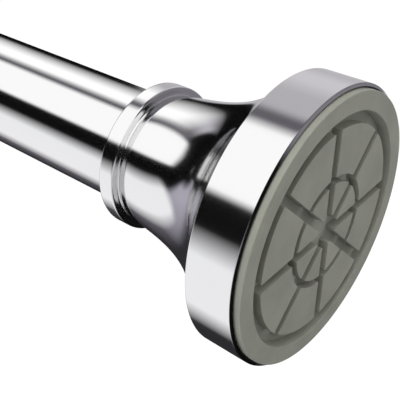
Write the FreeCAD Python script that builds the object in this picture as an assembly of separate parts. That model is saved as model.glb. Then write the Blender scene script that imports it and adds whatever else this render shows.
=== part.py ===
# Spring tension rod: two telescoping tubes, a twist lock, a push spring, flared ends with rubber wall pads.
# Frame: origin at the centre of the near pad's wall face, +X out of the pad into the wall, +Z up, in mm.
# Depth is counted back from the near wall along the rod, so a point at depth d has x = -d.

import FreeCAD
import Part
import math
import os

# Overall sizes
rest_length = 475.0
outer_short = 130.0
inner_short = 151.5
tube_diameter = 25.4
outer_wall = 0.8
inner_wall = 0.8

# Flared cover
rim_diameter = 56.4
rim_width = 9.5
rim_wall = 1.4
cover_length = 43.0
cover_wall = 1.8
collar_width = 3.8
collar_rise = 3.45
collar_edge = 0.4
neck_rise = 1.65
neck_reach = 7.46
neck_slope = 0.22
flare_hold = 9.25
flare_hold_rise = 1.15
cover_edge = 0.3
flare_stations = 13

# Rubber wall pad
pad_stand = 1.5
pad_thickness = 4.0
pad_lip = 0.95
pad_edge = 0.35
ring_width = 3.7
ring_groove_width = 2.45
hub_groove_radius = 10.8
hub_groove_width = 1.5
hub_tip_width = 0.65
spoke_count = 8
spoke_width = 2.1
block_drop = 0.3
groove_depth = 2.3
groove_draft = 0.3
block_edge = 0.15
block_corner = 0.2
peg_count = 4
peg_radius = 2.0
peg_head_radius = 2.8
peg_head_length = 1.6

# Moulded end base
plate_thickness = 2.5
cup_wall = 0.4
cup_floor = 0.6
cup_setback = 0.15
skirt_wall = 1.8
snap_setback = 1.5
snap_rise = 0.3
snap_width = 1.2
socket_wall = 1.8
base_rib_count = 8
base_rib_thickness = 1.6
spigot_length = 2.5
spigot_radius = 10.0

# Screw and tube plug
screw_radius = 2.0
screw_length = 19.0
screw_head_radius = 3.9
screw_head_height = 2.3
screw_head_edge = 1.2
cross_width = 0.9
cross_length = 4.2
cross_depth = 1.3
counterbore_depth = 2.6
plug_length = 18.0
plug_wall = 1.8
plug_floor = 3.0
plug_boss_radius = 4.6
plug_rib_count = 4
plug_rib_thickness = 1.6

# Bush and sleeve
bush_wall = 0.65
bush_depth = 14.0
bush_lip_width = 3.6
bush_lip_rise = 0.9
bush_lip_edge = 0.5
sleeve_lip_width = 1.8
sleeve_lip_rise = 1.3
sleeve_lip_edge = 0.4

# Twist lock
shaft_radius = 3.5
hexagon_flats = 8.0
thread_pitch = 2.0
lock_turn = 270.0
collet_length = 34.0
collet_wall = 3.1
collet_relief = 0.5
grip_land_width = 3.2
grip_land_gap = 1.6
grip_land_count = 3
collet_hub_length = 12.0
slot_count = 4
slot_width = 2.5
slot_reach = 1.5
cone_angle = 8.0
nut_length = 15.0
nut_overhang = 3.0
fin_length = 9.0
washer_radius = 8.0
washer_thickness = 1.2
clip_thickness = 1.0
clip_rise = 1.9
clip_groove_depth = 0.6
clip_opening = 4.4
shaft_tip = 1.5
shaft_tip_chamfer = 0.8

# Spring and its seats
spring_travel = 25.0
travel_spare = 2.0
spring_length = 85.0
spring_turns = 9.0
wire_diameter = 2.0
coil_diameter = 17.4
guide_flange_length = 4.0
guide_length = 20.0
spring_seat_thickness = 3.0
spring_boss_length = 7.0
spring_stop_length = 15.0
crimp_depth = 0.5
crimp_width = 3.0

# Clearances
slip_fit = 0.05
run_fit = 0.08
face_gap = 0.1
loose_gap = 0.5
tolerance = 1e-4

# Depths and radii that follow from the sizes above
tube_radius = tube_diameter / 2
bore_radius = tube_radius - outer_wall
bush_radius = bore_radius - slip_fit
inner_radius = bush_radius - bush_wall - run_fit
inner_bore = inner_radius - inner_wall
rim_radius = rim_diameter / 2
rim_bore = rim_radius - rim_wall
rim_back = pad_stand + rim_width
cover_back = pad_stand + cover_length
collar_front = cover_back - collar_width
neck_radius = tube_radius + neck_rise
socket_radius = tube_radius + slip_fit
socket_outer = socket_radius + socket_wall
skirt_radius = rim_bore - slip_fit
skirt_inner = skirt_radius - skirt_wall
peg_circle_radius = (socket_outer + skirt_inner) / 2
pad_radius = rim_radius - pad_lip
cup_radius = pad_radius + slip_fit + cup_wall
cup_back = pad_thickness + cup_floor
ring_inner = pad_radius - ring_width
block_radius = ring_inner - ring_groove_width
hub_radius = spoke_width / 2 / math.sin(math.pi / spoke_count) + hub_tip_width
plate_back = pad_thickness + plate_thickness
spigot_back = plate_back + spigot_length
tube_front = plate_back
tube_mouth = tube_front + rest_length - outer_short
tail = inner_short - plate_back
screw_seat = pad_thickness + counterbore_depth
guide_front = tail - guide_flange_length
guide_back = tail + guide_length
seat_front = guide_back + face_gap
seat_back = seat_front + spring_seat_thickness
stop_front = seat_back + spring_length
hexagon_front = guide_front - spring_travel - travel_spare
washer_front = hexagon_front - washer_thickness
collet_back = washer_front - face_gap
collet_front = collet_back - collet_length
hub_front = collet_back - collet_hub_length
nut_draw = thread_pitch * lock_turn / 360
nut_front = collet_front - nut_overhang
nut_stop = nut_front - face_gap - clip_thickness
shaft_front = nut_stop - shaft_tip
grip_radius = bore_radius - run_fit
cone_slope = math.tan(math.radians(cone_angle))
collet_mouth = grip_radius - collet_wall
clip_radius = shaft_radius + clip_rise
spring_boss_radius = (coil_diameter - 2 * wire_diameter) / 2 - loose_gap
boss_end = seat_back + spring_boss_length

AXIS = FreeCAD.Vector(1, 0, 0)
BACK = FreeCAD.Vector(-1, 0, 0)
UP = FreeCAD.Vector(0, 0, 1)
ORIGIN = FreeCAD.Vector(0, 0, 0)


def spot(depth, radius):
    """Point of a turned outline at a depth from the near wall and a radius from the rod's axis."""
    return FreeCAD.Vector(-depth, 0, radius)


def path(corners):
    """Straight edges from corner to corner."""
    points = [spot(depth, radius) for depth, radius in corners]
    return [Part.LineSegment(a, b).toShape() for a, b in zip(points, points[1:])]


def revolved(edges):
    """Solid turned about the rod's axis from a closed chain of edges."""
    return Part.Face(Part.Wire(edges)).revolve(ORIGIN, AXIS, 360)


def turned(corners):
    """Solid turned about the rod's axis from straight-sided corners."""
    return revolved(path(corners + corners[:1]))


def pipe(front, back, outer, inner):
    """Hollow cylinder on the rod's axis."""
    return turned([(front, inner), (front, outer), (back, outer), (back, inner)])


def bar(front, back, radius):
    """Solid cylinder on the rod's axis."""
    return Part.makeCylinder(radius, back - front, spot(front, 0), BACK)


def hexagon(front, back, flats):
    """Hexagonal bar on the rod's axis."""
    corner = flats / math.sqrt(3)
    turn = [math.radians(60 * k) for k in range(7)]
    points = [FreeCAD.Vector(-front, corner * math.cos(a), corner * math.sin(a)) for a in turn]
    return Part.Face(Part.makePolygon(points)).extrude(BACK * (back - front))


def fin(front, back, inner, outer, thickness):
    """Radial plate that stands up from the rod's axis."""
    corner = FreeCAD.Vector(-back, -thickness / 2, inner)
    return Part.makeBox(back - front, thickness, outer - inner, corner)


def around(shape, count, phase=0.0):
    """Copies of a shape spaced evenly about the rod's axis."""
    copies = []
    for k in range(count):
        copy = shape.copy()
        copy.rotate(ORIGIN, AXIS, phase + 360 * k / count)
        copies.append(copy)
    return copies


def ring_edges(shape, rings):
    """The round edges of a shape that lie at the given (depth, radius) rings."""
    edges = []
    for edge in shape.Edges:
        curve = edge.Curve
        if isinstance(curve, Part.Circle):
            place = (-curve.Center.x, curve.Radius)
            if any(math.dist(place, ring) < tolerance for ring in rings):
                edges.append(edge)
    return edges


def eased(shape, radius, rings):
    """The shape with its round edges at the given rings filleted."""
    return shape.makeFillet(radius, ring_edges(shape, rings))


def far_end(shape):
    """The same piece at the rod's other end."""
    copy = shape.copy()
    copy.rotate(ORIGIN, UP, 180)
    copy.translate(BACK * rest_length)
    return copy


def flare_curve():
    """Trumpet outline of the cover, from the neck forward to the rim's back edge."""
    start = spot(collar_front, neck_radius)
    lead = FreeCAD.Vector(1, 0, neck_slope).normalize()
    curve = Part.BezierCurve()
    curve.setPoles(
        [
            start,
            start + lead * neck_reach,
            spot(rim_back + flare_hold, neck_radius + flare_hold_rise),
            spot(rim_back, rim_radius - cover_edge),
        ]
    )
    return curve


def flare_inside(wall):
    """Points of the curve that lies one wall inside the trumpet outline, from the neck to the rim."""
    curve = flare_curve()
    points = []
    for k in range(flare_stations):
        share = k / (flare_stations - 1)
        along = curve.tangent(share)[0]
        inward = FreeCAD.Vector(along.z, 0, -along.x)
        points.append(curve.value(share) + inward * wall)
    return points


def flare_space(wall):
    """Solid that fills the trumpet up to one wall from its outside."""
    points = flare_inside(wall)
    inside = Part.BSplineCurve()
    inside.interpolate(points)
    back, mouth = points[0], points[-1]
    return revolved(
        [inside.toShape()]
        + path([(-mouth.x, mouth.z), (-mouth.x, 0), (-back.x, 0), (-back.x, back.z)])
    )


def mouth_depth():
    """Depth at which the trumpet's inside meets the rim's bore."""
    return -flare_inside(cover_wall)[-1].x


def skirt_back():
    """Depth of the base's skirt, just short of the trumpet."""
    return mouth_depth() - loose_gap


def flare_reach(radius, wall):
    """Depth to which a cylinder of a radius fits into the trumpet's inside."""
    fitting = [-point.x for point in flare_inside(wall) if point.z > radius]
    return max(fitting)


def end_cap():
    """Flared cover: collar, neck, trumpet and rim, with a rebate for the base in front."""
    outline = [
        (collar_front, neck_radius),
        (collar_front, tube_radius + collar_rise),
        (cover_back, tube_radius + collar_rise),
        (cover_back, 0),
        (pad_stand, 0),
        (pad_stand, rim_radius),
        (rim_back, rim_radius),
        (rim_back, rim_radius - cover_edge),
    ]
    body = revolved(path(outline) + [flare_curve().toShape()])
    body = eased(body, cover_edge, [(pad_stand, rim_radius)])
    body = eased(
        body,
        collar_edge,
        [
            (collar_front, tube_radius + collar_rise),
            (cover_back, tube_radius + collar_rise),
            (collar_front, neck_radius),
        ],
    )
    rim_space = bar(pad_stand, mouth_depth(), rim_bore)
    rebate = bar(pad_stand, cup_back, cup_radius + slip_fit)
    tube_way = bar(pad_stand, cover_back, socket_radius)
    hollow = [flare_space(cover_wall), rim_space, snap_ring(rim_bore, slip_fit), rebate, tube_way]
    return body.cut(hollow)


def snap_ring(radius, gap):
    """Low ridge that snaps the cover onto the base."""
    middle = skirt_back() - snap_setback
    half = snap_width / 2 + gap
    rise = snap_rise + gap
    return turned(
        [
            (middle - half, radius - snap_rise),
            (middle - half, radius),
            (middle - half / 3, radius + rise),
            (middle + half / 3, radius + rise),
            (middle + half, radius),
            (middle + half, radius - snap_rise),
        ]
    )


def end_base():
    """Ribbed base: a cup round the pad, a skirt in the rim, a socket and a spigot for the tube."""
    skirt_end = skirt_back()
    rib_room = flare_space(cover_wall + loose_gap)
    socket_back = flare_reach(socket_outer, cover_wall + loose_gap)
    plate = bar(pad_thickness, plate_back, skirt_radius)
    cup = pipe(pad_stand + cup_setback, cup_back, cup_radius, pad_radius + slip_fit)
    cup_seat = pipe(pad_thickness, cup_back, cup_radius, skirt_inner)
    skirt = pipe(pad_thickness, skirt_end, skirt_radius, skirt_inner)
    socket = pipe(pad_thickness, socket_back, socket_outer, socket_radius)
    spigot = bar(pad_thickness, spigot_back, spigot_radius)
    low_rib = fin(plate_back, skirt_end, socket_radius + socket_wall / 2, skirt_inner, base_rib_thickness)
    high_rib = fin(skirt_end, socket_back, socket_radius + socket_wall / 2, skirt_inner, base_rib_thickness)
    rib = low_rib.fuse(high_rib.common(rib_room))
    ribs = around(rib, base_rib_count, 180 / base_rib_count)
    body = plate.fuse([cup, cup_seat, skirt, snap_ring(skirt_radius, 0.0), socket, spigot] + ribs)
    peg_hole = bar(pad_thickness, plate_back, peg_radius + slip_fit)
    peg_hole.translate(UP * peg_circle_radius)
    head_space = bar(pad_thickness, screw_seat, screw_head_radius + loose_gap)
    screw_way = bar(pad_thickness, spigot_back, screw_radius + slip_fit)
    return body.cut(around(peg_hole, peg_count) + [head_space, screw_way]).removeSplitter()


def tread_block(inner, outer):
    """One tread block between two spoke grooves, with soft corners and a soft top edge."""
    step = 2 * math.pi / spoke_count
    inner_cut = math.asin(spoke_width / 2 / inner)
    outer_cut = math.asin(spoke_width / 2 / outer)

    def corner(radius, angle):
        return FreeCAD.Vector(-groove_depth, radius * math.cos(angle), radius * math.sin(angle))

    corners = [
        corner(inner, inner_cut),
        corner(outer, outer_cut),
        corner(outer, step - outer_cut),
        corner(inner, step - inner_cut),
    ]
    outline = [
        Part.LineSegment(corners[0], corners[1]),
        Part.Arc(corners[1], corner(outer, step / 2), corners[2]),
        Part.LineSegment(corners[2], corners[3]),
        Part.Arc(corners[3], corner(inner, step / 2), corners[0]),
    ]
    block = Part.Face(Part.Wire([side.toShape() for side in outline]))
    block = block.extrude(AXIS * (groove_depth - block_drop))
    uprights = [edge for edge in block.Edges if edge.BoundBox.XLength > block_edge]
    block = block.makeFillet(block_corner, uprights)
    top = [edge for edge in block.Edges if edge.BoundBox.XMin > -block_drop - block_edge / 2]
    return block.makeFillet(block_edge, top)


def wall_pad():
    """Rubber pad: flat outer ring, sunk tread blocks between grooves, snap pegs on its back."""
    body = turned(
        [
            (0, ring_inner),
            (0, pad_radius),
            (pad_thickness, pad_radius),
            (pad_thickness, 0),
            (groove_depth, 0),
            (groove_depth, ring_inner - groove_draft),
        ]
    )
    body = eased(body, pad_edge, [(0, pad_radius)])
    body = eased(body, block_edge, [(0, ring_inner)])
    blocks = around(tread_block(hub_groove_radius + hub_groove_width / 2, block_radius), spoke_count)
    blocks += around(tread_block(hub_radius, hub_groove_radius - hub_groove_width / 2), spoke_count)
    shank = bar(pad_thickness, plate_back, peg_radius)
    head = Part.makeCone(peg_head_radius, peg_radius, peg_head_length, spot(plate_back, 0), BACK)
    peg = shank.fuse(head)
    peg.translate(UP * peg_circle_radius)
    return body.fuse(blocks + around(peg, peg_count)).removeSplitter()


def base_screw():
    """Pan head screw with a cross recess, from the base into the tube plug."""
    top = screw_seat - screw_head_height
    tip = screw_seat + screw_length
    body = turned(
        [
            (top, 0),
            (top, screw_head_radius),
            (screw_seat, screw_head_radius),
            (screw_seat, screw_radius),
            (tip - screw_radius, screw_radius),
            (tip, 0),
        ]
    )
    body = eased(body, screw_head_edge, [(top, screw_head_radius)])
    blade = fin(top, top + cross_depth, -cross_length / 2, cross_length / 2, cross_width)
    return body.cut(around(blade, 4)[:2])


def tube_plug(tube_bore):
    """Cup-shaped plug pressed into a tube's end, with a ribbed boss for the screw."""
    outer = tube_bore - slip_fit
    back = spigot_back + plug_length
    floor_back = spigot_back + plug_floor
    boss_back = screw_seat + screw_length + plug_floor
    rib = fin(spigot_back, back, 0, outer - plug_wall / 2, plug_rib_thickness)
    body = pipe(spigot_back, back, outer, outer - plug_wall).fuse(
        [bar(spigot_back, floor_back, outer), bar(spigot_back, boss_back, plug_boss_radius)]
        + around(rib, plug_rib_count)
    )
    return body.cut(bar(spigot_back, boss_back, screw_radius + slip_fit)).removeSplitter()


def mouth_bush():
    """Guide bush: a thin sleeve in the larger tube's mouth and a rounded lip over its end."""
    sleeve_bore = inner_radius + run_fit
    lip_radius = tube_radius + bush_lip_rise
    lip_back = tube_mouth + bush_lip_width
    body = turned(
        [
            (tube_mouth - bush_depth, sleeve_bore),
            (tube_mouth - bush_depth, bush_radius),
            (tube_mouth, bush_radius),
            (tube_mouth, lip_radius),
            (lip_back, lip_radius),
            (lip_back, sleeve_bore),
        ]
    )
    return eased(body, bush_lip_edge, [(tube_mouth, lip_radius), (lip_back, lip_radius)])


def reducer_sleeve():
    """Sleeve between the smaller tube and the larger socket, with a lip at the collar."""
    sleeve_bore = inner_radius + slip_fit
    lip_radius = tube_radius + sleeve_lip_rise
    lip_back = cover_back + sleeve_lip_width
    body = turned(
        [
            (tube_front, sleeve_bore),
            (tube_front, tube_radius),
            (cover_back, tube_radius),
            (cover_back, lip_radius),
            (lip_back, lip_radius),
            (lip_back, sleeve_bore),
        ]
    )
    return eased(body, sleeve_lip_edge, [(lip_back, lip_radius)])


def crimped(front, back, radius, crimps):
    """Outline points of a wall with a rolled dip at each crimp, from front to back."""
    half = crimp_width / 2
    points = [(front, radius)]
    for middle in crimps:
        points += [
            (middle - half, radius),
            (middle - half / 3, radius - crimp_depth),
            (middle + half / 3, radius - crimp_depth),
            (middle + half, radius),
        ]
    return points + [(back, radius)]


def inner_tube(crimps):
    """Smaller tube with the crimps that hold its guide plug and spring stop."""
    back = rest_length - tube_front
    outside = crimped(tail, back, inner_radius, crimps)
    inside = crimped(tail, back, inner_bore, crimps)
    return turned(outside + inside[::-1])


def guide_plug(crimp):
    """Flanged plug in the smaller tube's tail, with the hexagon hole that slides on the shaft."""
    body = turned(
        [(guide_front, 0), (guide_front, grip_radius), (tail, grip_radius)]
        + crimped(tail, guide_back, inner_bore - slip_fit, [crimp])
        + [(guide_back, 0)]
    )
    return body.cut(hexagon(guide_front, guide_back, hexagon_flats + 2 * run_fit))


def spring_stop(crimp):
    """Crimped plug with a boss inside the spring's far end."""
    back = stop_front + spring_stop_length
    return turned(
        [(stop_front - spring_boss_length, 0), (stop_front - spring_boss_length, spring_boss_radius)]
        + [(stop_front, spring_boss_radius)]
        + crimped(stop_front, back, inner_bore - slip_fit, [crimp])
        + [(back, 0)]
    )


def spring_seat():
    """Follower on the shaft's end, with a boss inside the spring's near end."""
    hole = shaft_radius + slip_fit
    return turned(
        [
            (seat_front, hole),
            (seat_front, inner_bore - loose_gap),
            (seat_back, inner_bore - loose_gap),
            (seat_back, spring_boss_radius),
            (boss_end, spring_boss_radius),
            (boss_end, hole),
        ]
    )


def tension_spring():
    """Compression spring with ground ends, between the follower and the stop."""
    coil_radius = (coil_diameter - wire_diameter) / 2
    pitch = spring_length / spring_turns
    helix = Part.makeHelix(pitch, spring_length, coil_radius)
    rise = pitch / (2 * math.pi * coil_radius)
    circle = Part.Circle(FreeCAD.Vector(coil_radius, 0, 0), FreeCAD.Vector(0, 1, rise), wire_diameter / 2)
    coil = Part.Wire(helix.Edges).makePipeShell([Part.Wire(circle.toShape())], True, True)
    coil.rotate(ORIGIN, FreeCAD.Vector(0, 1, 0), -90)
    coil.translate(BACK * seat_back)
    return coil.common(bar(seat_back, stop_front, coil_diameter))


def collet_radius(depth):
    """Radius of the collet's cone at a depth."""
    return collet_mouth - cone_slope * (depth - collet_front)


def expander():
    """Collet: a hub that turns on the shaft and slotted fingers with grip lands over an inside cone."""
    outline = [(collet_front, grip_radius - collet_relief)]
    for k in range(grip_land_count):
        start = collet_front + grip_land_gap + k * (grip_land_width + grip_land_gap)
        outline += [
            (start, grip_radius - collet_relief),
            (start, grip_radius),
            (start + grip_land_width, grip_radius),
            (start + grip_land_width, grip_radius - collet_relief),
        ]
    outline += [
        (collet_back, grip_radius - collet_relief),
        (collet_back, shaft_radius + run_fit),
        (hub_front, shaft_radius + run_fit),
        (hub_front, collet_radius(hub_front)),
        (collet_front, collet_mouth),
    ]
    body = turned(outline)
    slot = fin(collet_front, hub_front - slot_reach, 0, bore_radius, slot_width)
    return body.cut(around(slot, slot_count))


def wedge_nut():
    """Cone nut on the shaft's thread, with fins that run in the collet's slots."""
    nut_back = nut_front + nut_length
    room = cone_slope * nut_draw + run_fit
    front_radius = collet_radius(nut_front) - room
    back_radius = collet_radius(nut_back) - room
    hole = shaft_radius + slip_fit
    cone = turned([(nut_front, hole), (nut_front, front_radius), (nut_back, back_radius), (nut_back, hole)])
    fin_thickness = slot_width - 2 * run_fit
    fin_root = (hole + back_radius) / 2
    blade = fin(nut_front, nut_front + fin_length, fin_root, grip_radius - collet_relief, fin_thickness)
    return cone.fuse(around(blade, slot_count)).removeSplitter()


def clip_ring(front):
    """Full ring of a retaining clip, which is also the room of its groove in the shaft."""
    return pipe(front, front + clip_thickness, clip_radius, shaft_radius - clip_groove_depth)


def clip(front):
    """Snap ring open on one side."""
    gap = fin(front, front + clip_thickness, 0, clip_radius, clip_opening)
    return clip_ring(front).cut(gap)


def lock_shaft(clip_fronts):
    """Shaft: round and threaded in front, a hexagon in its middle, round at its end."""
    shaft_back = clip_fronts[-1] + clip_thickness + shaft_tip
    middle = hexagon(hexagon_front, seat_front, hexagon_flats)
    body = bar(shaft_front, shaft_back, shaft_radius).fuse(middle)
    body = body.cut([clip_ring(front) for front in clip_fronts])
    ends = ring_edges(body, [(shaft_front, shaft_radius), (shaft_back, shaft_radius)])
    return body.makeChamfer(shaft_tip_chamfer, ends)


def build():
    """Every piece by its node's name."""
    guide_crimp = tail + guide_length / 2
    stop_crimp = stop_front + spring_stop_length / 2
    clip_fronts = [nut_stop, hub_front - face_gap - clip_thickness, boss_end]
    near = {
        "end_cap": end_cap(),
        "end_base": end_base(),
        "wall_pad": wall_pad(),
        "base_screw": base_screw(),
    }
    pieces = {
        "outer_tube": pipe(tube_front, tube_mouth, tube_radius, bore_radius),
        "mouth_bush": mouth_bush(),
        "inner_tube": inner_tube([guide_crimp, stop_crimp]),
        "reducer_sleeve": far_end(reducer_sleeve()),
        "tube_plug_a": tube_plug(bore_radius),
        "tube_plug_b": far_end(tube_plug(inner_bore)),
        "expander": expander(),
        "wedge_nut": wedge_nut(),
        "lock_shaft": lock_shaft(clip_fronts),
        "thrust_washer": pipe(washer_front, hexagon_front, washer_radius, shaft_radius + slip_fit),
        "retaining_clips": Part.makeCompound([clip(front) for front in clip_fronts]),
        "guide_plug": guide_plug(guide_crimp),
        "spring_seat": spring_seat(),
        "tension_spring": tension_spring(),
        "spring_stop": spring_stop(stop_crimp),
    }
    for name, shape in near.items():
        pieces[name + "_a"] = shape
        pieces[name + "_b"] = far_end(shape)
    return pieces


os.makedirs("parts", exist_ok=True)
for node, piece in build().items():
    print(node, len(piece.Solids), "valid" if piece.isValid() else "NOT VALID")
    piece.exportStep("parts/" + node + ".step")
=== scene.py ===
"""Looks of a telescoping spring tension rod with flared chrome ends and rubber wall pads."""

import logging
import math
from dataclasses import dataclass, field
from enum import Enum

import bmesh
import bpy
from mathutils import Matrix, Vector


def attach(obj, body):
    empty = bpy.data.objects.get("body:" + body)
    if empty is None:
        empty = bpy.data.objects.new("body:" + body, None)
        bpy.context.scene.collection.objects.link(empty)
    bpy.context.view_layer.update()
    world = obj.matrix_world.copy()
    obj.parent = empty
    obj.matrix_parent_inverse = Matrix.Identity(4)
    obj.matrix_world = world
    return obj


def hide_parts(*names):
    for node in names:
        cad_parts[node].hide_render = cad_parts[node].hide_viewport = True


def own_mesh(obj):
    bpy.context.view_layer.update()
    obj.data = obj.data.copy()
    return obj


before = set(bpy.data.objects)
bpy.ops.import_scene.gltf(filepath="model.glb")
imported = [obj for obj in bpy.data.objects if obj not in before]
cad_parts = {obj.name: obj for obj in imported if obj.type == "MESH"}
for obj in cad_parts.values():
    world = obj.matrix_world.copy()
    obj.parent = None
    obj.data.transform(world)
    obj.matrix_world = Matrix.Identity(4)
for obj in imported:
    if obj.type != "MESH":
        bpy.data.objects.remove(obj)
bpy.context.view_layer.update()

MM = 0.001
LOG = logging.getLogger("tension_rod")
Point = tuple[float, float]
Corner = tuple[float, float, float]
Value = bpy.types.NodeSocket | float
ANYWHERE = (-1.0, 0.0)
NEVER = (1.0, 2.0)
WHITE = (1.0, 1.0, 1.0, 1.0)
ROD_LENGTH = 475.0


class Body(Enum):
    """The moving parts of the rod that new pieces ride on."""

    OUTER = "outer"
    INNER = "inner"


class Slot(Enum):
    """The record's material slots."""

    CHROMED_TUBE = "chromed_tube"
    PLATED_COVER = "plated_cover"
    GREY_RUBBER = "grey_rubber"
    BLACK_MOULDING = "black_moulding"
    GREY_TRIM = "grey_trim"
    WHITE_NYLON = "white_nylon"
    ZINC_STEEL = "zinc_steel"


def linear(hex_colour: str) -> tuple[float, float, float, float]:
    """Turns an sRGB colour into the linear one that shaders take.

    Args:
        hex_colour: six hexadecimal digits, red first.

    Returns:
        Linear red, green, blue and an alpha of one.
    """
    levels = [int(hex_colour[i : i + 2], 16) / 255 for i in (0, 2, 4)]
    parts = [v / 12.92 if v <= 0.04045 else ((v + 0.055) / 1.055) ** 2.4 for v in levels]
    return (parts[0], parts[1], parts[2], 1.0)


def per_metre(size_mm: float) -> float:
    """Pattern scale whose features are about the given size.

    Args:
        size_mm: the features' size in millimetres.

    Returns:
        The scale, for coordinates in metres.
    """
    return 1.0 / (size_mm * MM)


def add_node(
    tree: bpy.types.NodeTree,
    kind: str,
    inputs: dict | None = None,
    **settings: object,
) -> bpy.types.Node:
    """Adds one shader node.

    Args:
        tree: the node tree that gets it.
        kind: the node's type name without its prefix.
        inputs: what each input, by name or number, is set to or linked from.
        settings: the node's own settings.

    Returns:
        The new node.
    """
    node = tree.nodes.new("ShaderNode" + kind)
    for name, value in settings.items():
        setattr(node, name, value)
    for key, value in (inputs or {}).items():
        if isinstance(value, bpy.types.NodeSocket):
            tree.links.new(value, node.inputs[key])
        else:
            node.inputs[key].default_value = value
    return node


def sums(tree: bpy.types.NodeTree, operation: str, *values: Value) -> bpy.types.NodeSocket:
    """Adds one step of arithmetic.

    Args:
        tree: the node tree.
        operation: what is done.
        values: the numbers or sockets that it is done to.

    Returns:
        The result.
    """
    return add_node(tree, "Math", dict(enumerate(values)), operation=operation).outputs[0]


def ramp(
    tree: bpy.types.NodeTree,
    value: bpy.types.NodeSocket,
    span: Point,
    reach: Point = (0.0, 1.0),
) -> bpy.types.NodeSocket:
    """Maps a span of a value onto another one, level beyond both ends.

    Args:
        tree: the node tree.
        value: the value.
        span: where the value's span begins and ends.
        reach: the results at these two.

    Returns:
        The result.
    """
    limits = {1: span[0], 2: span[1], 3: reach[0], 4: reach[1]}
    return add_node(tree, "MapRange", {0: value, **limits}).outputs[0]


def blend(
    tree: bpy.types.NodeTree,
    share: bpy.types.NodeSocket,
    first: bpy.types.NodeSocket | tuple,
    second: bpy.types.NodeSocket | tuple,
) -> bpy.types.NodeSocket:
    """Mixes two colours.

    Args:
        tree: the node tree.
        share: the second colour's share.
        first: the first colour.
        second: the second colour.

    Returns:
        The mixed colour.
    """
    return add_node(tree, "Mix", {0: share, 6: first, 7: second}, data_type="RGBA").outputs[2]


def noise(
    tree: bpy.types.NodeTree,
    place: bpy.types.NodeSocket,
    size_mm: float,
    detail: float,
    swirl: float = 0.0,
) -> bpy.types.NodeSocket:
    """Adds an irregular pattern.

    Args:
        tree: the node tree.
        place: the coordinates that it is laid over.
        size_mm: the size of its features.
        detail: how many finer layers it has.
        swirl: how much it is distorted.

    Returns:
        The pattern's level.
    """
    inputs = {"Vector": place, "Scale": per_metre(size_mm), "Detail": detail, "Distortion": swirl}
    return add_node(tree, "TexNoise", inputs).outputs[0]


def emboss(
    tree: bpy.types.NodeTree,
    shader: bpy.types.Node,
    height: bpy.types.NodeSocket,
    depth_mm: float,
) -> None:
    """Lays a fine pattern on a shader's surface as relief.

    Args:
        tree: the node tree.
        shader: the surface shader.
        height: the pattern.
        depth_mm: its depth.
    """
    relief = add_node(tree, "Bump", {"Height": height, "Distance": depth_mm * MM})
    tree.links.new(relief.outputs[0], shader.inputs["Normal"])


def new_material(name: str) -> tuple[bpy.types.Material, bpy.types.NodeTree, bpy.types.Node]:
    """Starts a material.

    Args:
        name: the material's name.

    Returns:
        The material, its node tree and its one surface shader.
    """
    material = bpy.data.materials.new(name)
    material.use_nodes = True
    tree = material.node_tree
    return material, tree, tree.nodes["Principled BSDF"]


@dataclass(frozen=True)
class ChromePlate:
    """Bright chromium plating on a buffed ground: a mirror with a trace of haze along the rod."""

    slot: Slot
    colour: str = "E6E6E6"
    clear: float = 0.095
    hazed: float = 0.115
    haze_mm: float = 14.0
    haze_detail: float = 5.0
    haze_span: Point = (0.35, 0.75)
    stretch: float = 0.08
    ripple_mm: float = 9.0
    ripple_detail: float = 1.0
    ripple_depth_mm: float = 0.004

    def material(self) -> bpy.types.Material:
        """Makes the material.

        Returns:
            The material.
        """
        material, tree, shader = new_material(self.slot.value)
        shader.inputs["Base Color"].default_value = linear(self.colour)
        shader.inputs["Metallic"].default_value = 1.0
        place = add_node(tree, "TexCoord").outputs["Object"]
        drawn_out = {"Vector": place, "Scale": (self.stretch, 1, 1)}
        along = add_node(tree, "Mapping", drawn_out).outputs[0]
        haze = noise(tree, along, self.haze_mm, self.haze_detail)
        rough = ramp(tree, haze, self.haze_span, (self.clear, self.hazed))
        tree.links.new(rough, shader.inputs["Roughness"])
        ripple = noise(tree, along, self.ripple_mm, self.ripple_detail)
        emboss(tree, shader, ripple, self.ripple_depth_mm)
        return material


@dataclass(frozen=True)
class MouldedRubber:
    """Grey thermoplastic rubber, moulded: dull, with a fine matt grain and a faint pale bloom."""

    slot: Slot
    colour: str = "7D7E75"
    bloom: str = "86877D"
    roughness: float = 0.55
    ior: float = 1.5
    bloom_mm: float = 7.0
    bloom_detail: float = 4.0
    bloom_span: Point = (0.35, 0.7)
    grain_mm: float = 0.35
    grain_detail: float = 2.0
    grain_depth_mm: float = 0.012

    def material(self) -> bpy.types.Material:
        """Makes the material.

        Returns:
            The material.
        """
        material, tree, shader = new_material(self.slot.value)
        shader.inputs["Roughness"].default_value = self.roughness
        shader.inputs["IOR"].default_value = self.ior
        place = add_node(tree, "TexCoord").outputs["Object"]
        cloud = noise(tree, place, self.bloom_mm, self.bloom_detail)
        share = ramp(tree, cloud, self.bloom_span)
        colour = blend(tree, share, linear(self.colour), linear(self.bloom))
        tree.links.new(colour, shader.inputs["Base Color"])
        grain = noise(tree, place, self.grain_mm, self.grain_detail)
        emboss(tree, shader, grain, self.grain_depth_mm)
        return material


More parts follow.
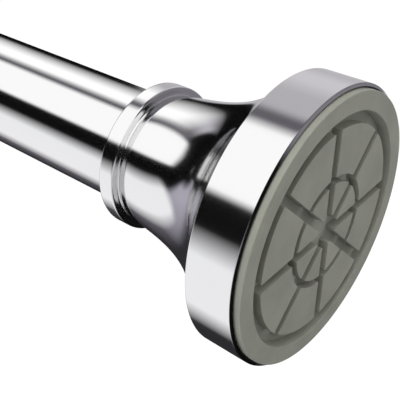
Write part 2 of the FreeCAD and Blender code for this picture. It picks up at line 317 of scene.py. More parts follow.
@dataclass(frozen=True)
class MouldedPlastic:
    """Moulded plastic from a spark-eroded tool: an even satin skin with slow flow clouds."""

    slot: Slot
    colour: str
    cloud: str
    smooth: float = 0.38
    dull: float = 0.55
    ior: float = 1.53
    flow_mm: float = 12.0
    flow_detail: float = 3.0
    flow_swirl: float = 0.6
    dull_span: Point = (0.3, 0.7)
    grain_mm: float = 0.3
    grain_detail: float = 2.0
    grain_depth_mm: float = 0.008
    translucence: float = 0.0
    scatter_mm: float = 1.0

    def material(self) -> bpy.types.Material:
        """Makes the material.

        Returns:
            The material.
        """
        material, tree, shader = new_material(self.slot.value)
        shader.inputs["IOR"].default_value = self.ior
        shader.inputs["Subsurface Weight"].default_value = self.translucence
        shader.inputs["Subsurface Radius"].default_value = (self.scatter_mm * MM,) * 3
        place = add_node(tree, "TexCoord").outputs["Object"]
        flow = noise(tree, place, self.flow_mm, self.flow_detail, self.flow_swirl)
        colour = blend(tree, flow, linear(self.colour), linear(self.cloud))
        tree.links.new(colour, shader.inputs["Base Color"])
        rough = ramp(tree, flow, self.dull_span, (self.smooth, self.dull))
        tree.links.new(rough, shader.inputs["Roughness"])
        grain = noise(tree, place, self.grain_mm, self.grain_detail)
        emboss(tree, shader, grain, self.grain_depth_mm)
        return material


@dataclass(frozen=True)
class ZincSteel:
    """Drawn steel with bright zinc: grey, with lengthwise draw lines and a bluish, mottled cast."""

    slot: Slot
    colour: str = "BFC1C0"
    passivated: str = "ACB2B8"
    bright: float = 0.22
    dull: float = 0.42
    mottle_mm: float = 3.0
    line_mm: float = 0.25
    line_detail: float = 3.0
    line_span: Point = (0.3, 0.7)
    line_stretch: float = 0.02
    line_depth_mm: float = 0.006

    def material(self) -> bpy.types.Material:
        """Makes the material.

        Returns:
            The material.
        """
        material, tree, shader = new_material(self.slot.value)
        shader.inputs["Metallic"].default_value = 1.0
        place = add_node(tree, "TexCoord").outputs["Object"]
        mottle = add_node(tree, "TexVoronoi", {"Vector": place, "Scale": per_metre(self.mottle_mm)})
        colour = blend(tree, mottle.outputs["Distance"], linear(self.colour), linear(self.passivated))
        tree.links.new(colour, shader.inputs["Base Color"])
        drawn_out = {"Vector": place, "Scale": (self.line_stretch, 1, 1)}
        along = add_node(tree, "Mapping", drawn_out).outputs[0]
        lines = noise(tree, along, self.line_mm, self.line_detail)
        rough = ramp(tree, lines, self.line_span, (self.bright, self.dull))
        tree.links.new(rough, shader.inputs["Roughness"])
        emboss(tree, shader, lines, self.line_depth_mm)
        return material


Finish = ChromePlate | MouldedRubber | MouldedPlastic | ZincSteel


@dataclass
class FinishRack:
    """Every finish of the rod, made once and shared by its pieces."""

    finishes: tuple[Finish, ...] = (
        ChromePlate(Slot.CHROMED_TUBE),
        ChromePlate(Slot.PLATED_COVER, stretch=1.0),
        MouldedRubber(Slot.GREY_RUBBER),
        MouldedPlastic(Slot.BLACK_MOULDING, "1E1F20", "26272A"),
        MouldedPlastic(Slot.GREY_TRIM, "A4A6A8", "ACAEB0"),
        MouldedPlastic(Slot.WHITE_NYLON, "E4E1D6", "EAE8E0", translucence=0.15),
        ZincSteel(Slot.ZINC_STEEL),
    )
    made: dict[Slot, bpy.types.Material] = field(default_factory=dict)

    def build(self) -> None:
        """Makes the materials."""
        for finish in self.finishes:
            self.made[finish.slot] = finish.material()

    def dress_new(self, piece: bpy.types.Object, slot: Slot, body: Body, node: str) -> None:
        """Gives a new piece its finish, its body and the node that it stands for.

        Args:
            piece: the modelled piece.
            slot: the material slot that it takes its finish from.
            body: the body that it moves with.
            node: the plain solid that it replaces.
        """
        piece.data.materials.clear()
        piece.data.materials.append(self.made[slot])
        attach(piece, body.value)
        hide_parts(node)
        LOG.info("%s: %d faces, replaces %s", piece.name, len(piece.data.polygons), node)

    def dress_node(self, node: str, slot: Slot) -> None:
        """Gives a kept solid its finish.

        Args:
            node: the solid's name.
            slot: the material slot that it takes its finish from.
        """
        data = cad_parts[node].data
        data.materials.clear()
        data.materials.append(self.made[slot])
        LOG.info("%s: dressed as %s", node, slot.value)


@dataclass(frozen=True)
class Lathe:
    """Turned shapes: a ring is drawn out along an outline of depths and radii, then closed.

    Depth is counted back from the near wall, so a point at depth d has x = -d. Sizes are in millimetres.

    Attributes:
        around: corners of each ring.
        arc_steps: steps round each rounded edge.
        hold: how far the holding ring lies from a rounded edge.
        smooth_angle: the angle in degrees above which an edge is shaded sharp.
    """

    around: int = 192
    arc_steps: int = 5
    hold: float = 0.12
    smooth_angle: float = 33.0

    def rounded(self, corners: list[Corner]) -> list[Point]:
        """Rounds the corners of a closed outline.

        Args:
            corners: depth, radius and edge rounding of each corner; no rounding leaves it sharp.

        Returns:
            Depth and radius of each ring, with a holding ring beside every rounded edge.
        """
        rings: list[Point] = []
        for k, (depth, radius, edge) in enumerate(corners):
            corner = Vector((depth, radius))
            if edge == 0:
                rings.append((depth, radius))
                continue
            before = (Vector(corners[k - 1][:2]) - corner).normalized()
            after = (Vector(corners[(k + 1) % len(corners)][:2]) - corner).normalized()
            half = before.angle(after) / 2
            reach = edge / math.tan(half)
            middle = corner + (before + after).normalized() * edge / math.sin(half)
            start = corner + before * reach
            end = corner + after * reach
            turn = (start - middle).angle_signed(end - middle)
            rings.append(tuple(start + before * self.hold))
            for step in range(self.arc_steps + 1):
                spoke = (start - middle).copy()
                spoke.rotate(Matrix.Rotation(-turn * step / self.arc_steps, 2))
                rings.append(tuple(middle + spoke))
            rings.append(tuple(end + after * self.hold))
        return rings

    def turn(self, name: str, rings: list[Point], hollow: bool = True) -> bpy.types.Object:
        """Draws a ring out from place to place.

        Args:
            name: the piece's name.
            rings: depth and radius of each ring, in order.
            hollow: whether the last ring joins the first, or both are filled.

        Returns:
            The piece, at the origin with its place in its mesh.
        """
        bpy.ops.object.select_all(action="DESELECT")
        depth, radius = rings[0]
        bpy.ops.mesh.primitive_circle_add(
            vertices=self.around,
            radius=radius * MM,
            fill_type="NOTHING",
            location=(-depth * MM, 0, 0),
            rotation=(0, math.pi / 2, 0),
        )
        piece = bpy.context.object
        piece.name = name
        piece.data.name = name
        bpy.ops.object.transform_apply(location=True, rotation=True, scale=True)
        bpy.ops.object.mode_set(mode="EDIT")
        bpy.ops.mesh.select_mode(type="EDGE")
        bpy.ops.mesh.select_all(action="SELECT")
        for next_depth, next_radius in rings[1:]:
            shift = ((depth - next_depth) * MM, 0, 0)
            bpy.ops.mesh.extrude_region_move(TRANSFORM_OT_translate={"value": shift})
            scale = next_radius / radius
            bpy.ops.transform.resize(value=(1, scale, scale), center_override=(-next_depth * MM, 0, 0))
            depth, radius = next_depth, next_radius
        bpy.ops.mesh.select_all(action="DESELECT")
        bpy.ops.mesh.select_non_manifold(extend=False, use_wire=True, use_boundary=True)
        if hollow:
            bpy.ops.mesh.bridge_edge_loops()
        else:
            bpy.ops.mesh.edge_face_add()
        bpy.ops.mesh.select_all(action="SELECT")
        bpy.ops.mesh.normals_make_consistent(inside=False)
        bpy.ops.object.mode_set(mode="OBJECT")
        bpy.ops.object.shade_smooth_by_angle(angle=math.radians(self.smooth_angle))
        return piece


def only(piece: bpy.types.Object) -> None:
    """Selects one piece and makes it active.

    Args:
        piece: the piece.
    """
    bpy.ops.object.select_all(action="DESELECT")
    piece.select_set(True)
    bpy.context.view_layer.objects.active = piece


def joined(name: str, pieces: list[bpy.types.Object]) -> bpy.types.Object:
    """Joins pieces into one.

    Args:
        name: the name of the result.
        pieces: the pieces; the first one takes the others in.

    Returns:
        The joined piece.
    """
    only(pieces[0])
    for piece in pieces[1:]:
        piece.select_set(True)
    bpy.ops.object.join()
    pieces[0].name = name
    pieces[0].data.name = name
    return pieces[0]


def repeat_round(piece: bpy.types.Object, count: int) -> None:
    """Repeats all of a piece evenly about the rod's axis, in its own mesh.

    Args:
        piece: the piece, as modelled once.
        count: how many there are in the end.
    """
    only(piece)
    bpy.ops.object.mode_set(mode="EDIT")
    bpy.ops.mesh.select_all(action="SELECT")
    for _ in range(count - 1):
        bpy.ops.mesh.duplicate()
        bpy.ops.transform.rotate(value=math.tau / count, orient_axis="X", center_override=(0, 0, 0))
    bpy.ops.object.mode_set(mode="OBJECT")


def at_far_end(piece: bpy.types.Object) -> None:
    """Moves a piece made for the near end to the rod's far end, as it is at rest.

    Args:
        piece: the piece.
    """
    only(piece)
    bpy.ops.transform.rotate(value=math.pi, orient_axis="Z", center_override=(0, 0, 0))
    bpy.ops.transform.translate(value=(-ROD_LENGTH * MM, 0, 0))
    bpy.ops.object.transform_apply(location=True, rotation=True, scale=True)


@dataclass
class WallEnd:
    """One end of the rod: flared cover, tread-patterned pad and the base, plug and screw behind them.

    Sizes are in millimetres: fronts, backs and floors are depths behind the wall face, and the outline's
    points are pairs of depth and radius.
    """

    mark: str
    body: Body
    far: bool
    rim_radius: float = 28.2
    rim_front: float = 1.5
    rim_back: float = 11.0
    rim_bore: float = 26.8
    rebate_radius: float = 27.75
    lip_radius: float = 27.6
    lip_front: float = 1.18
    lip_back: float = 1.62
    lip_flat: float = 0.8
    lip_edge: float = 0.1
    rebate_back: float = 4.6
    neck_radius: float = 14.35
    neck_reach: Point = (33.416, 15.955)
    flare_hold: Point = (20.25, 15.5)
    flare_stations: int = 44
    cover_wall: float = 1.8
    collar_front: float = 40.7
    collar_back: float = 44.5
    collar_radius: float = 16.15
    collar_edge: float = 0.4
    cover_bore: float = 12.75
    cover_edge: float = 0.3
    pad_radius: float = 27.25
    pad_back: float = 4.0
    pad_edge: float = 0.2
    ring_inner: float = 23.55
    groove_draft: float = 0.3
    groove_floor: float = 2.3
    block_top: float = 0.3
    block_root: float = 0.15
    block_rings: tuple[Point, ...] = ((11.55, 21.1), (3.394, 10.05))
    block_edge: float = 0.15
    block_corner: float = 0.2
    block_around: int = 144
    bevel_steps: int = 3
    sharp_angle: float = 40.0
    same_height: float = 0.05
    side_tilt: float = 0.5
    spoke_count: int = 8
    spoke_width: float = 2.1
    peg_count: int = 4
    peg_circle: float = 19.75
    peg_radius: float = 2.0
    peg_head_radius: float = 2.8
    plate_back: float = 6.5
    peg_back: float = 8.1
    peg_around: int = 32

    def flare(self, share: float) -> tuple[Vector, Vector]:
        """Point and unit direction of the trumpet outline.

        Args:
            share: how far along it, from the rim at 0 to the neck at 1.

        Returns:
            The point's depth and radius, and the direction towards the neck.
        """
        rim = Vector((self.rim_back, self.rim_radius - self.cover_edge))
        hold = Vector(self.flare_hold)
        reach = Vector(self.neck_reach)
        neck = Vector((self.collar_front, self.neck_radius))
        rest = 1 - share
        point = rim * rest**3 + hold * 3 * rest**2 * share
        point = point + reach * 3 * rest * share**2 + neck * share**3
        way = (hold - rim) * rest**2 + (reach - hold) * 2 * rest * share + (neck - reach) * share**2
        return point, way.normalized()

    def build_cover(self) -> bpy.types.Object:
        """Turns the flared cover, rim to collar and back along its inside.

        Returns:
            The cover.
        """
        lathe = Lathe()
        shares = [k / (self.flare_stations - 1) for k in range(self.flare_stations)]
        outside = [tuple(self.flare(share)[0]) for share in shares]
        inside = []
        for share in reversed(shares):
            point, way = self.flare(share)
            inner = point + Vector((way.y, -way.x)) * self.cover_wall
            if inner.y > self.cover_bore and inner.x > self.rim_front:
                inside.append(tuple(inner))
        lip = Vector((self.lip_front, self.lip_radius))
        lip_hold = lip.lerp(Vector((self.rim_front, self.rim_radius)), self.lip_flat)
        corners = [
            (self.lip_front, self.lip_radius, 0),
            (*lip_hold, 0),
            (self.rim_front, self.rim_radius, self.lip_edge),
            (self.rim_back, self.rim_radius, self.cover_edge / 2),
            *[(depth, radius, 0) for depth, radius in outside[:-1]],
            (self.collar_front, self.neck_radius, self.collar_edge),
            (self.collar_front, self.collar_radius, self.collar_edge),
            (self.collar_back, self.collar_radius, self.collar_edge),
            (self.collar_back, self.cover_bore, 0),
            (inside[0][0], self.cover_bore, 0),
            *[(depth, radius, 0) for depth, radius in inside],
            (inside[-1][0], self.rim_bore, 0),
            (self.rebate_back, self.rim_bore, 0),
            (self.rebate_back, self.rebate_radius, 0),
            (self.lip_back, self.rebate_radius, 0),
            (self.lip_back, self.lip_radius, 0),
        ]
        return lathe.turn(f"flared_cover_{self.mark}", lathe.rounded(corners))

    def build_block(self, inner: float, outer: float) -> bpy.types.Object:
        """Models one tread block as a slice of a ring, with soft corners and top, and repeats it.

        Args:
            inner: the block's inner radius.
            outer: the block's outer radius.

        Returns:
            All the blocks of this ring.
        """
        floor = self.groove_floor + self.block_root
        rings = [(self.block_top, inner), (self.block_top, outer), (floor, outer), (floor, inner)]
        block = Lathe(around=self.block_around).turn("tread_blocks", rings)
        only(block)
        bpy.ops.object.mode_set(mode="EDIT")
        step = math.tau / self.spoke_count
        for normal in ((0, 0, 1), (0, math.sin(step), -math.cos(step))):
            place = [part * self.spoke_width / 2 * MM for part in normal]
            bpy.ops.mesh.select_all(action="SELECT")
            bpy.ops.mesh.bisect(plane_co=place, plane_no=normal, use_fill=True, clear_inner=True)
        self.soften(block, uprights=True, offset=self.block_corner)
        self.soften(block, uprights=False, offset=self.block_edge)
        bpy.ops.object.mode_set(mode="OBJECT")
        bpy.ops.object.shade_smooth_by_angle(angle=math.radians(self.sharp_angle))
        repeat_round(block, self.spoke_count)
        return block

    def soften(self, block: bpy.types.Object, uprights: bool, offset: float) -> None:
        """Bevels a block's corner edges, or the edge round its top.

        Args:
            block: the block, in edit mode.
            uprights: whether the corner edges are meant.
            offset: the bevel's size.
        """
        top = -self.block_top * MM
        mesh = bmesh.from_edit_mesh(block.data)
        near = self.same_height * MM
        limit = math.radians(self.sharp_angle)
        for edge in mesh.edges:
            heights = [vert.co.x for vert in edge.verts]
            upright = abs(heights[0] - heights[1]) > near
            if uprights:
                sharp = len(edge.link_faces) == 2 and edge.calc_face_angle() > limit
                chosen = upright and sharp
            else:
                on_top = all(abs(height - top) < near for height in heights)
                chosen = on_top and any(abs(face.normal.x) < self.side_tilt for face in edge.link_faces)
            edge.select_set(chosen)
        bmesh.update_edit_mesh(block.data)
        bpy.ops.mesh.bevel(
            offset=offset * MM,
            segments=self.bevel_steps,
            affect="EDGES",
            clamp_overlap=True,
        )

    def build_peg(self) -> bpy.types.Object:
        """Turns one snap peg and repeats it round the pad's back.

        Returns:
            All the pegs.
        """
        rings = [
            (self.pad_back - self.block_root, self.peg_radius),
            (self.plate_back, self.peg_radius),
            (self.plate_back, self.peg_head_radius),
            (self.peg_back, self.peg_radius),
        ]
        peg = Lathe(around=self.peg_around).turn("pad_pegs", rings, hollow=False)
        bpy.ops.transform.translate(value=(0, 0, self.peg_circle * MM))
        bpy.ops.object.transform_apply(location=True)
        repeat_round(peg, self.peg_count)
        return peg

    def build_pad(self) -> bpy.types.Object:
        """Turns the pad's ring and floor and sets the tread blocks and pegs on it.

        Returns:
            The pad.
        """
        lathe = Lathe()
        hub = self.block_rings[-1][0] / 2
        rings = lathe.rounded(
            [
                (self.groove_floor, hub, 0),
                (self.groove_floor, self.ring_inner - self.groove_draft, 0),
                (0.0, self.ring_inner, self.block_edge),
                (0.0, self.pad_radius, self.pad_edge),
                (self.pad_back, self.pad_radius, 0),
                (self.pad_back, hub, 0),
            ]
        )
        pad = lathe.turn("pad_body", rings, hollow=False)
        blocks = [self.build_block(inner, outer) for inner, outer in self.block_rings]
        return joined(f"tread_pad_{self.mark}", [pad, *blocks, self.build_peg()])

    def build(self, rack: FinishRack) -> None:
        """Makes this end and dresses it.

        Args:
            rack: the finishes.
        """
        cover = self.build_cover()
        pad = self.build_pad()
        if self.far:
            for piece in (cover, pad):
                at_far_end(piece)
                # The near flare would mirror this end as bright specks, so mirrors pass it by.
                piece.visible_glossy = False
        rack.dress_new(cover, Slot.PLATED_COVER, self.body, f"end_cap_{self.mark}")
        rack.dress_new(pad, Slot.GREY_RUBBER, self.body, f"wall_pad_{self.mark}")
        rack.dress_node(f"end_base_{self.mark}", Slot.BLACK_MOULDING)
        rack.dress_node(f"tube_plug_{self.mark}", Slot.BLACK_MOULDING)
        rack.dress_node(f"base_screw_{self.mark}", Slot.ZINC_STEEL)


@dataclass
class Telescope:
    """The two chromed tubes with the guide bush between them and the sleeve in the far cover.

    Sizes are in millimetres: fronts, backs and the like are depths behind the near wall face, and the
    sleeve's are those behind the far one.
    """

    around: int = 160
    tube_front: float = 6.5
    tube_mouth: float = 351.5
    outer_radius: float = 12.7
    outer_bore: float = 11.9
    inner_tail: float = 145.0
    inner_radius: float = 11.12
    inner_bore: float = 10.32
    crimps: tuple[float, ...] = (155.0, 260.6)
    crimp_half: float = 1.5
    crimp_depth: float = 0.5
    crimp_floor: float = 1 / 3
    crimp_edge: float = 0.7
    tube_edge: float = 0.15
    bush_front: float = 337.5
    bush_back: float = 355.1
    bush_radius: float = 11.85
    bush_bore: float = 11.2
    bush_lip: float = 13.6
    bush_edge: float = 0.5
    sleeve_shoulder: float = 44.5
    sleeve_back: float = 46.3
    sleeve_bore: float = 11.17
    sleeve_lip: float = 14.0
    sleeve_edge: float = 0.4

    def build_outer(self) -> bpy.types.Object:
        """Turns the larger tube.

        Returns:
            The larger tube.
        """
        lathe = Lathe()
        corners = [
            (self.tube_front, self.outer_bore, 0),
            (self.tube_front, self.outer_radius, self.tube_edge),
            (self.tube_mouth, self.outer_radius, self.tube_edge),
            (self.tube_mouth, self.outer_bore, 0),
        ]
        return lathe.turn("chromed_outer_tube", lathe.rounded(corners))

    def crimped(self, radius: float) -> list[Corner]:
        """Corners of the smaller tube's wall with its rolled crimps.

        Args:
            radius: the wall's radius away from the crimps.

        Returns:
            The corners between the tube's ends, from its tail on.
        """
        corners = []
        for middle in self.crimps:
            for share, dip in ((-1, 0), (-self.crimp_floor, 1), (self.crimp_floor, 1), (1, 0)):
                depth = middle + share * self.crimp_half
                edge = self.crimp_edge if dip == 0 else self.crimp_edge / 2
                corners.append((depth, radius - dip * self.crimp_depth, edge))
        return corners

    def build_inner(self) -> bpy.types.Object:
        """Turns the smaller tube.

        Returns:
            The smaller tube.
        """
        lathe = Lathe(around=self.around)
        back = ROD_LENGTH - self.tube_front
        corners = [
            (self.inner_tail, self.inner_bore, 0),
            (self.inner_tail, self.inner_radius, self.tube_edge),
            *self.crimped(self.inner_radius),
            (back, self.inner_radius, self.tube_edge),
            (back, self.inner_bore, 0),
            *reversed(self.crimped(self.inner_bore)),
        ]
        return lathe.turn("chromed_inner_tube", lathe.rounded(corners))

    def build_bush(self) -> bpy.types.Object:
        """Turns the guide bush in the larger tube's mouth.

        Returns:
            The guide bush.
        """
        lathe = Lathe(around=self.around)
        corners = [
            (self.bush_front, self.bush_bore, 0),
            (self.bush_front, self.bush_radius, 0),
            (self.tube_mouth, self.bush_radius, 0),
            (self.tube_mouth, self.bush_lip, self.bush_edge),
            (self.bush_back, self.bush_lip, self.bush_edge),
            (self.bush_back, self.bush_bore, self.tube_edge),
        ]
        return lathe.turn("mouth_bush_trim", lathe.rounded(corners))

    def build_sleeve(self) -> bpy.types.Object:
        """Turns the sleeve that fills the far cover's bore round the smaller tube.

        Returns:
            The sleeve.
        """
        lathe = Lathe(around=self.around)
        corners = [
            (self.tube_front, self.sleeve_bore, 0),
            (self.tube_front, self.outer_radius, 0),
            (self.sleeve_shoulder, self.outer_radius, 0),
            (self.sleeve_shoulder, self.sleeve_lip, 0),
            (self.sleeve_back, self.sleeve_lip, self.sleeve_edge),
            (self.sleeve_back, self.sleeve_bore, self.tube_edge),
        ]
        sleeve = lathe.turn("reducer_trim", lathe.rounded(corners))
        at_far_end(sleeve)
        return sleeve

    def build(self, rack: FinishRack) -> None:
        """Makes the tubes and their trims and dresses them.

        Args:
            rack: the finishes.
        """
        rack.dress_new(self.build_outer(), Slot.CHROMED_TUBE, Body.OUTER, "outer_tube")
        rack.dress_new(self.build_inner(), Slot.CHROMED_TUBE, Body.INNER, "inner_tube")
        rack.dress_new(self.build_bush(), Slot.GREY_TRIM, Body.OUTER, "mouth_bush")
        rack.dress_new(self.build_sleeve(), Slot.GREY_TRIM, Body.INNER, "reducer_sleeve")


@dataclass
class PushSpring:
    """The compression spring in the smaller tube, with its guide, seat and stop, in millimetres."""

    front: float = 168.1
    back: float = 253.1
    wire: float = 2.0
    coil: float = 17.4
    turns: int = 9
    wire_sides: int = 14
    steps_per_turn: int = 40
    shortest: float = 60.0
    weld: float = 0.01
    smooth_angle: float = 50.0

    def build_spring(self) -> bpy.types.Object:
        """Winds a ring of wire section round the rod's axis and grinds both ends flat.

        Returns:
            The spring.
        """
        radius = (self.coil - self.wire) / 2
        pitch = (self.back - self.front) / self.turns
        bpy.ops.object.select_all(action="DESELECT")
        bpy.ops.mesh.primitive_circle_add(
            vertices=self.wire_sides,
            radius=self.wire / 2 * MM,
            fill_type="NGON",
            location=(-(self.front - pitch / 2) * MM, 0, radius * MM),
            rotation=(math.pi / 2, 0, 0),
        )
        spring = bpy.context.object
        spring.name = "wound_spring"
        spring.data.name = "wound_spring"
        bpy.ops.object.transform_apply(location=True, rotation=True, scale=True)
        bpy.ops.object.modifier_add(type="SCREW")
        winding = spring.modifiers[-1]
        winding.axis = "X"
        winding.angle = math.tau
        winding.screw_offset = -pitch * MM
        winding.iterations = self.turns + 1
        winding.steps = self.steps_per_turn
        winding.render_steps = self.steps_per_turn
        winding.use_merge_vertices = True
        bpy.ops.object.modifier_apply(modifier=winding.name)
        bpy.ops.object.mode_set(mode="EDIT")
        for depth, normal in ((self.front, -1), (self.back, 1)):
            bpy.ops.mesh.select_all(action="SELECT")
            place = (-depth * MM, 0, 0)
            bpy.ops.mesh.bisect(plane_co=place, plane_no=(normal, 0, 0), use_fill=True, clear_inner=True)
        bpy.ops.mesh.select_all(action="SELECT")
        bpy.ops.mesh.remove_doubles(threshold=self.weld * MM)
        bpy.ops.mesh.normals_make_consistent(inside=False)
        bpy.ops.object.mode_set(mode="OBJECT")
        bpy.ops.object.shade_smooth_by_angle(angle=math.radians(self.smooth_angle))
        return spring

    def build(self, rack: FinishRack) -> None:
        """Makes the spring and dresses it and its seats.

        Args:
            rack: the finishes.
        """
        spring = self.build_spring()
        rack.dress_new(spring, Slot.ZINC_STEEL, Body.INNER, "tension_spring")
        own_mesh(spring)
        rack.dress_node("guide_plug", Slot.WHITE_NYLON)
        rack.dress_node("spring_stop", Slot.WHITE_NYLON)
        rack.dress_node("spring_seat", Slot.ZINC_STEEL)


@dataclass
class TwistLock:
    """The expander, cone nut, shaft, washer and clips of the lock inside the larger tube."""

    nylon: tuple[str, ...] = ("expander", "wedge_nut")
    steel: tuple[str, ...] = ("lock_shaft", "thrust_washer", "retaining_clips")

    def build(self, rack: FinishRack) -> None:
        """Dresses the lock.

        Args:
            rack: the finishes.
        """
        for node in self.nylon:
            rack.dress_node(node, Slot.WHITE_NYLON)
        for node in self.steel:
            rack.dress_node(node, Slot.ZINC_STEEL)


@dataclass(frozen=True)
class Panel:
    """One lit or dark panel that the chrome mirrors, placed by its directions seen from the rod.

    Attributes:
        name: what it stands for.
        colour: its colour as an sRGB hex code.
        starts: angles round the rod's axis, in degrees, where it begins and where it is full.
        ends: angles where it starts to fade and where it is gone.
        opens: shares along the rod's axis where it begins and where it is full.
        closes: shares along the rod's axis where it starts to fade and where it is gone.
        bow: how much sooner it closes away from its middle angle, per square radian.
        front: whether it stands on the near wall's side only.
    """

    name: str
    colour: str
    starts: Point
    ends: Point
    opens: Point
    closes: Point
    bow: float = 0.0
    front: bool = False


@dataclass(frozen=True)
class Lamp:
    """One soft lamp, turned to the near pad.

    Attributes:
        name: its name.
        watts: its power.
        size: the side of its square, in metres.
        place: where it hangs.
    """

    name: str
    watts: float
    size: float
    place: tuple[float, float, float]


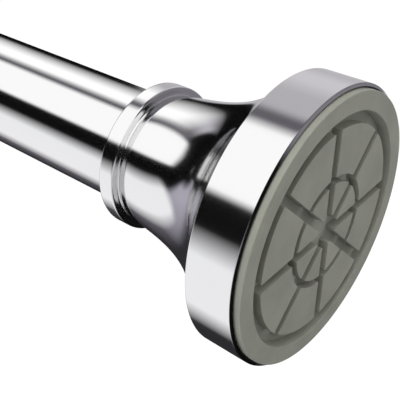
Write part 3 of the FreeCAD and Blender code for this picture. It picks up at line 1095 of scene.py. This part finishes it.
@dataclass
class Studio:
    """Camera, floor, lamps and the softboxes and dark flags that the chrome mirrors, in metres."""

    camera_place: tuple[float, float, float] = (0.04835, -0.09559, 0.07911)
    azimuth: float = 39.7
    elevation: float = 34.5
    lens_mm: float = 63.41
    sensor_mm: float = 36.0
    near_clip: float = 0.005
    backdrop: float = 1.0
    floor_drop: float = 0.3
    floor_width: float = 12.0
    floor_colour: str = "F4F4F4"
    floor_roughness: float = 0.9
    floor_glow: float = 1.05
    floor_share: float = 0.85
    dome_sides: float = 1.7
    dome_ends: float = 0.05
    dome_span: float = 0.6
    lamps: tuple[Lamp, ...] = (
        Lamp("front_lamp", 2.95, 0.7, (0.6, 0.15, 0.35)),
        Lamp("side_lamp", 4.2, 0.6, (-0.1, -0.42, 0.6)),
        Lamp("far_lamp", 2.95, 0.7, (-1.1, -0.15, 0.35)),
    )
    studio_strength: float = 1.264
    dark_colour: str = "0A0A0A"
    seam_angle: float = 165.0
    panels: tuple[Panel, ...] = (
        Panel("low wall", "2A292C", (-102, -96), (-50, -36), ANYWHERE, (0.9, 0.95)),
        Panel("grey wall", "AEACB0", (-38, -24), (66, 80), ANYWHERE, (0.62, 0.645)),
        Panel("wall patch", "C4C2C6", (-2, 16), (28, 46), ANYWHERE, (0.55, 0.6)),
        Panel("gap between boxes", "5A575E", (70, 76), (84, 88), ANYWHERE, (0.88, 0.94)),
        Panel("top box backing", "B2B0B6", (5, 32), (44, 80), (0.75, 0.8), (0.905, 0.925)),
        Panel("top box", "FFFFFF", (5, 46), (63.5, 77), (0.56, 0.62), (0.775, 0.875)),
        Panel("wall shoulder", "A5A3A8", (-2, 16), (20, 46), (0.55, 0.6), (0.612, 0.632)),
        Panel("floor skirt", "56535A", (-110, -100), (-94, -68), (0.54, 0.66), (0.9, 0.95)),
        Panel("far floor", "A5A2AD", (-166, -146), (-80, -52), (0.74, 0.96), (0.982, 0.995)),
        Panel("floor", "E9E9EB", (-185, -162), (-116, -93), ANYWHERE, (0.905, 0.937), bow=0.066),
        Panel("key box", "F9F9F9", (80.5, 89), (144.5, 150.5), ANYWHERE, (0.938, 0.97), bow=0.066),
        Panel("front floor", "BEBCC0", (-187, -163), (-125, -112), (0.02, 0.1), (0.84, 0.92), front=True),
        Panel("front flag", "0C0C0C", (-122, -108), (82, 88), (0.02, 0.1), NEVER, front=True),
        Panel("front wall", "76747A", (-46, -32), (58, 74), (0.02, 0.1), (0.9, 0.96), front=True),
    )

    def build_camera(self) -> None:
        """Sets up the camera at the photograph's place and angle."""
        data = bpy.data.cameras.new("camera")
        data.lens = self.lens_mm
        data.sensor_width = self.sensor_mm
        data.sensor_fit = "HORIZONTAL"
        data.clip_start = self.near_clip
        camera = bpy.data.objects.new("camera", data)
        bpy.context.scene.collection.objects.link(camera)
        turn = math.radians(self.azimuth)
        tilt = math.radians(self.elevation)
        level = math.cos(tilt)
        ahead = Vector((-math.sin(turn) * level, math.cos(turn) * level, -math.sin(tilt)))
        camera.location = self.camera_place
        camera.rotation_euler = ahead.to_track_quat("-Z", "Y").to_euler()
        bpy.context.scene.camera = camera

    def hang(
        self,
        tree: bpy.types.NodeTree,
        panel: Panel,
        turn: bpy.types.NodeSocket,
        along: bpy.types.NodeSocket,
        behind: bpy.types.NodeSocket | tuple,
    ) -> bpy.types.NodeSocket:
        """Hangs one panel in front of what the chrome mirrors so far.

        Args:
            tree: the world's node tree.
            panel: the panel.
            turn: a direction's angle round the rod's axis.
            along: a direction's share along the rod's axis.
            behind: the colour so far.

        Returns:
            The colour with the panel.
        """
        starts, fades = ([math.radians(angle) for angle in pair] for pair in (panel.starts, panel.ends))
        aside = sums(tree, "SUBTRACT", turn, (sum(starts) + sum(fades)) / 4)
        square = sums(tree, "MULTIPLY", aside, aside)
        bowed = sums(tree, "MULTIPLY_ADD", square, panel.bow, along)
        edges = (
            ramp(tree, turn, starts),
            ramp(tree, turn, fades, (1.0, 0.0)),
            ramp(tree, along, panel.opens),
            ramp(tree, bowed, panel.closes, (1.0, 0.0)),
        )
        share = edges[0]
        for edge in edges[1:]:
            share = sums(tree, "MULTIPLY", share, edge)
        return blend(tree, share, behind, linear(panel.colour))

    def build_world(self) -> None:
        """Lights the rod with a soft dome; the camera sees white and the chrome a studio of panels."""
        world = bpy.data.worlds.new("studio")
        bpy.context.scene.world = world
        world.use_nodes = True
        tree = world.node_tree
        tree.nodes.clear()
        way = add_node(tree, "TexCoord").outputs["Generated"]
        lengthwise, across, up = add_node(tree, "SeparateXYZ", {0: way}).outputs
        seam = math.radians(self.seam_angle)
        turn = sums(tree, "WRAP", sums(tree, "ARCTAN2", up, across), seam, seam - math.tau)
        tilt = sums(tree, "ABSOLUTE", lengthwise)
        shown = linear(self.dark_colour)
        for panel in self.panels:
            shown = self.hang(tree, panel, turn, lengthwise if panel.front else tilt, shown)
        level = ramp(tree, tilt, (0.0, self.dome_span), (self.dome_sides, self.dome_ends))
        dome = add_node(tree, "Background", {0: WHITE, 1: level})
        mirrored = add_node(tree, "Background", {0: shown, 1: self.studio_strength})
        white = add_node(tree, "Background", {0: WHITE, 1: self.backdrop})
        path = add_node(tree, "LightPath").outputs
        seen = sums(tree, "MAXIMUM", path["Is Camera Ray"], path["Is Transmission Ray"])
        inputs = {0: path["Is Glossy Ray"], 1: dome.outputs[0], 2: mirrored.outputs[0]}
        lit = add_node(tree, "MixShader", inputs)
        inputs = {0: seen, 1: lit.outputs[0], 2: white.outputs[0]}
        shaded = add_node(tree, "MixShader", inputs)
        add_node(tree, "OutputWorld", {0: shaded.outputs[0]})

    def build_lamps(self) -> None:
        """Hangs the soft lamps, which the chrome doesn't mirror."""
        for lamp in self.lamps:
            data = bpy.data.lights.new(lamp.name, "AREA")
            data.shape = "SQUARE"
            data.size = lamp.size
            data.energy = lamp.watts
            hung = bpy.data.objects.new(lamp.name, data)
            bpy.context.scene.collection.objects.link(hung)
            hung.location = lamp.place
            hung.rotation_euler = (-hung.location).to_track_quat("-Z", "Y").to_euler()
            hung.visible_glossy = False

    def build_floor(self) -> None:
        """Lays a pale floor well below the rod, which catches its soft shadow."""
        bpy.ops.object.select_all(action="DESELECT")
        bpy.ops.mesh.primitive_plane_add(size=self.floor_width, location=(0, 0, -self.floor_drop))
        floor = bpy.context.object
        floor.name = "floor"
        material, tree, shader = new_material("pale_floor")
        shader.inputs["Base Color"].default_value = linear(self.floor_colour)
        shader.inputs["Roughness"].default_value = self.floor_roughness
        white = add_node(tree, "Emission", {0: WHITE, 1: self.floor_glow})
        path = add_node(tree, "LightPath").outputs
        part = sums(tree, "MULTIPLY", path["Is Camera Ray"], self.floor_share)
        mixed = add_node(tree, "MixShader", {0: part, 1: shader.outputs[0], 2: white.outputs[0]})
        tree.links.new(mixed.outputs[0], tree.nodes["Material Output"].inputs[0])
        floor.data.materials.append(material)
        floor.visible_glossy = False

    def build(self) -> None:
        """Sets up the whole studio."""
        self.build_camera()
        self.build_world()
        self.build_lamps()
        self.build_floor()
        bpy.context.scene.view_settings.view_transform = "Standard"


def main() -> None:
    """Builds the rod's sub-assemblies in order and then the studio."""
    logging.basicConfig(level=logging.INFO, format="%(name)s: %(message)s")
    rack = FinishRack()
    rack.build()
    Telescope().build(rack)
    WallEnd("a", Body.OUTER, far=False).build(rack)
    WallEnd("b", Body.INNER, far=True).build(rack)
    TwistLock().build(rack)
    PushSpring().build(rack)
    Studio().build()


if __name__ == "__main__":
    main()
